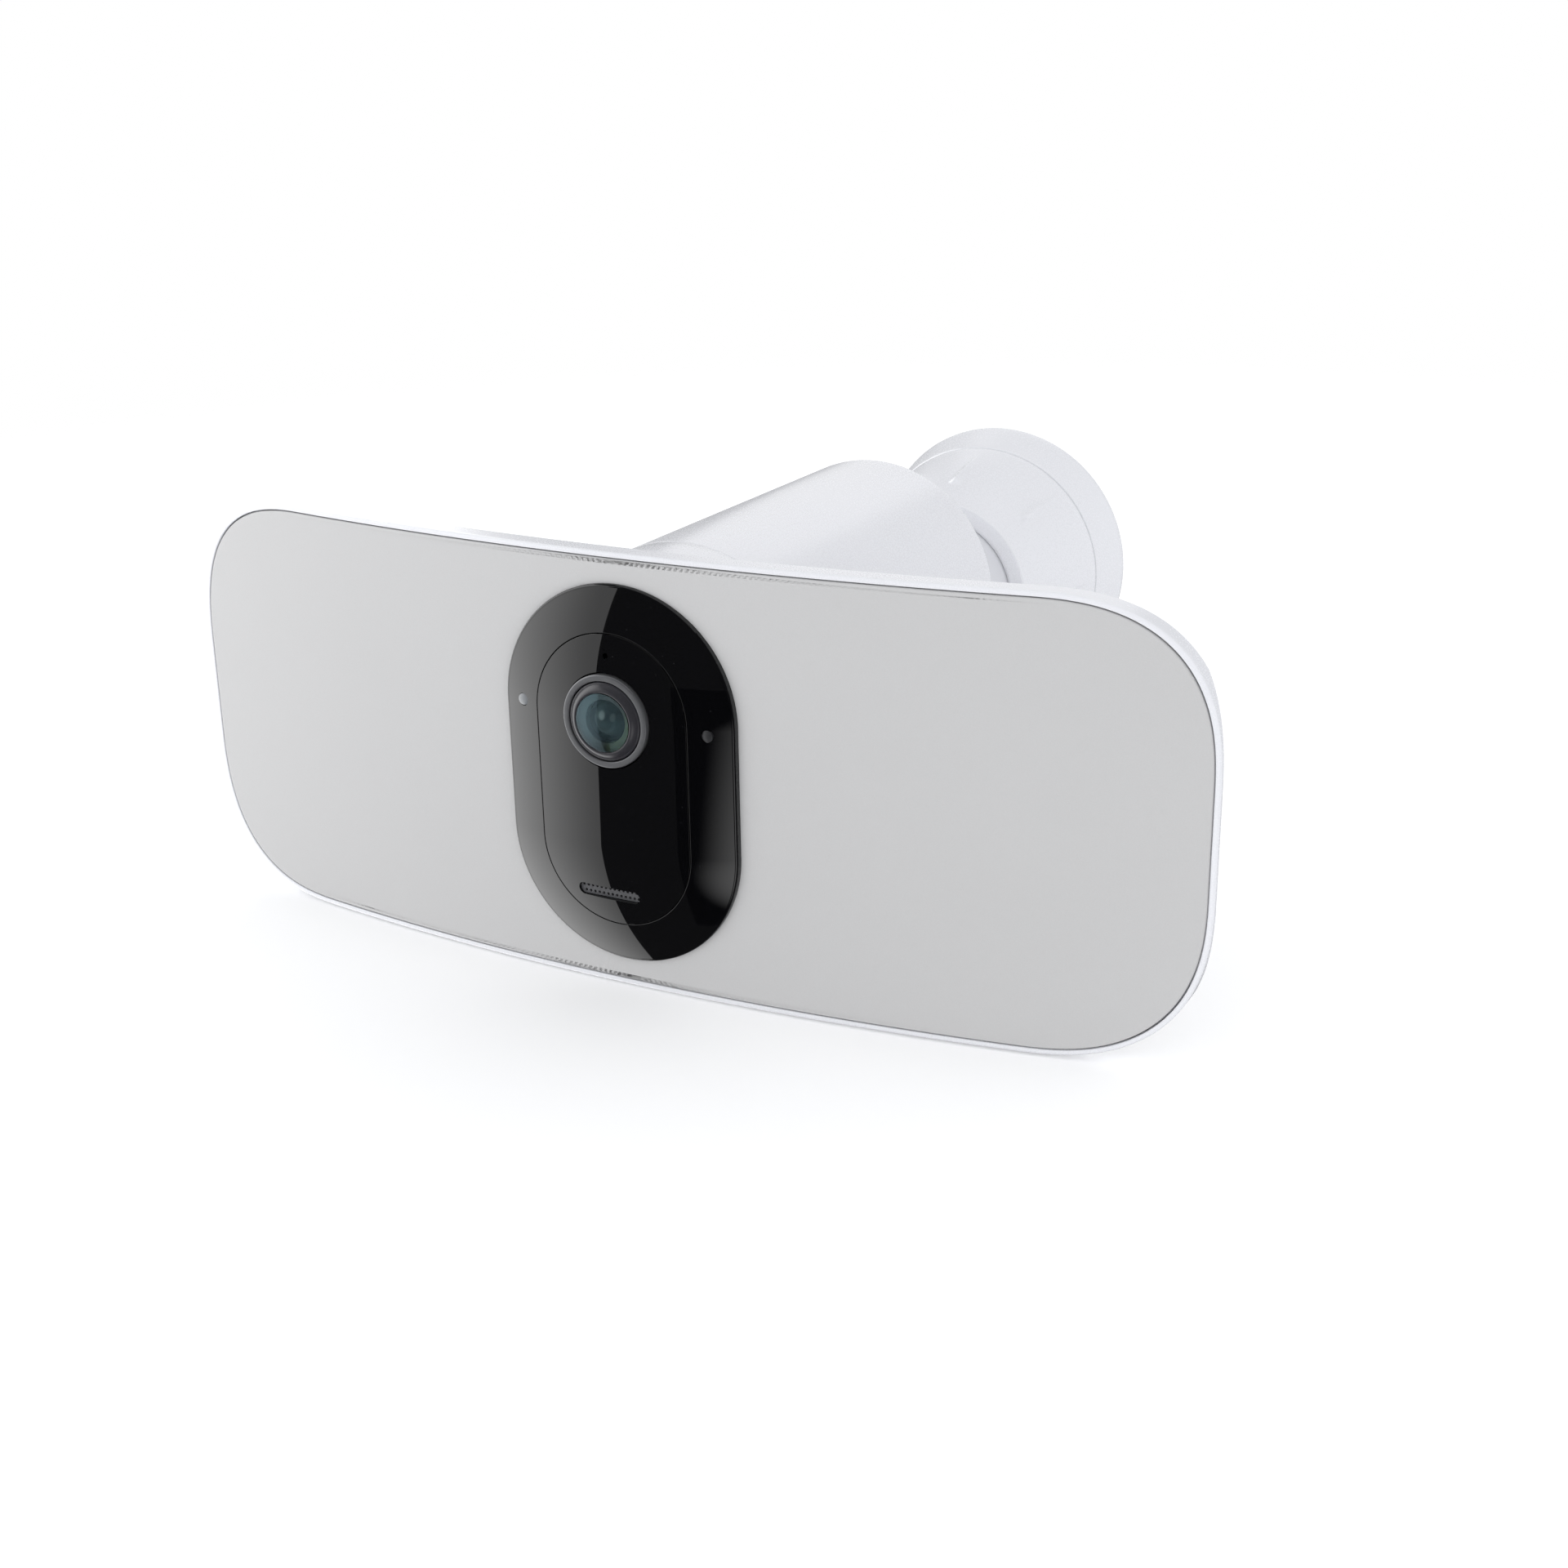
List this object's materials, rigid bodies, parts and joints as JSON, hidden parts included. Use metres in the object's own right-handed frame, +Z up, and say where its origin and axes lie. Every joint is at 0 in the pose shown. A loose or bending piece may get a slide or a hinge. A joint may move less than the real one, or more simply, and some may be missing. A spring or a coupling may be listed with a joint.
{
  "type": "floodlight security camera",
  "caption": "Wide curved lamp panel with a domed camera in its middle, on a round battery arm that tilts and pans on a ball mount with a screwed locking collar.",
  "frame": {"origin": "centre of the wall plate's back face, where it lies on the wall", "axes": "+Z up; the lamp faces -Y, away from the wall; +Y points into the wall; +X along the lamp head's width"},
  "size_m": [0.2912, 0.2541, 0.1133],
  "materials": {
    "white_shell": "satin-gloss moulded plastic",
    "panel": "opal matt diffuser",
    "black_face": "high-gloss black",
    "grey_ring": "satin dark grey",
    "dark_plastic": "matt black",
    "lens_glass": "coated glass",
    "window": "frosted light pipe",
    "rubber_black": "soft seal",
    "grey_plastic": "fine texture",
    "board": "solder mask",
    "lamp": "lamp phosphor",
    "aluminium": "rolled sheet",
    "steel": "plated",
    "contact": "gold-plated pins",
    "battery": "fine texture",
    "ball_plastic": "smooth engineering plastic",
    "ir_lens": "dark red lens"
  },
  "bodies": {
    "mount": {"wall_plate": "ball_plastic", "wall_gasket": "rubber_black", "base_shell": "white_shell", "base_lock_screw": "steel"},
    "clamp": {"pressure_ring": "grey_plastic"},
    "collar": {"lock_collar": "white_shell"},
    "swivel": {"ball_liner": "grey_plastic"},
    "ball": {"ball_stem": "ball_plastic", "stem_nut": "steel"},
    "arm": {"arm_shell": "white_shell", "arm_end_cap": "white_shell", "end_cap_screws": "steel", "stem_washer": "grey_plastic"},
    "release": {"release_button": "grey_plastic"},
    "head": {"front_bezel": "white_shell", "rear_housing": "white_shell", "diffuser_panel": "panel", "panel_gasket": "rubber_black", "housing_gasket": "rubber_black", "led_board_left": "board", "led_board_right": "board", "led_chips_left": "lamp", "led_chips_right": "lamp", "heat_spreader_left": "aluminium", "heat_spreader_right": "aluminium", "housing_screws": "steel", "camera_housing": "dark_plastic", "camera_face_ring": "black_face", "camera_face_inner": "black_face", "lens_ring": "grey_ring", "lens_barrel": "dark_plastic", "front_lens": "lens_glass", "rear_lens": "lens_glass", "image_sensor": "dark_plastic", "camera_board": "board", "infrared_leds": "ir_lens", "speaker": "dark_plastic", "speaker_grille": "dark_plastic", "microphone": "steel", "status_window": "window", "light_sensor_window": "window", "motion_sensor": "window", "main_board": "board", "charge_socket": "steel", "battery_cradle": "dark_plastic", "battery_pack": "battery", "battery_contacts": "contact", "arm_seal_ring": "rubber_black"},
    "sync": {"sync_button": "grey_plastic"},
    "cover": {"port_cover": "rubber_black"}
  },
  "joints": [
    {"name": "clamp_travel", "type": "slide", "parent": "mount", "child": "clamp", "axis": [0, -1, 0], "range_m": [0, 0.001]},
    {"name": "collar_turn", "type": "hinge", "parent": "clamp", "child": "collar", "pos_m": [0, -0.04, 0], "axis": [0, -1, 0], "range_deg": [0, 120]},
    {"name": "pan", "type": "hinge", "parent": "mount", "child": "swivel", "pos_m": [0, -0.04, 0], "axis": [0, 0, 1], "range_deg": [-28, 28]},
    {"name": "tilt", "type": "hinge", "parent": "swivel", "child": "ball", "pos_m": [0, -0.04, 0], "axis": [1, 0, 0], "range_deg": [-28, 28]},
    {"name": "roll", "type": "hinge", "parent": "ball", "child": "arm", "pos_m": [0, -0.04, 0], "axis": [0, 1, 0], "range_deg": [-180, 180]},
    {"name": "battery_slide", "type": "slide", "parent": "arm", "child": "head", "axis": [0, -1, 0], "range_m": [0, 0.1]},
    {"name": "release_press", "type": "slide", "parent": "arm", "child": "release", "axis": [0, 0, 1], "range_m": [0, 0.0015], "stiffness_N_per_m": 700},
    {"name": "sync_press", "type": "slide", "parent": "head", "child": "sync", "axis": [0, 0, 1], "range_m": [0, 0.0008], "stiffness_N_per_m": 500},
    {"name": "cover_swing", "type": "hinge", "parent": "head", "child": "cover", "pos_m": [0.0405, -0.23381, -0.0559], "axis": [0, -1, 0], "range_deg": [0, 100]}
  ],
  "couplings": [
    {"joint": "clamp_travel", "follows": "collar_turn", "m_per_rad": 0.000477}
  ]
}
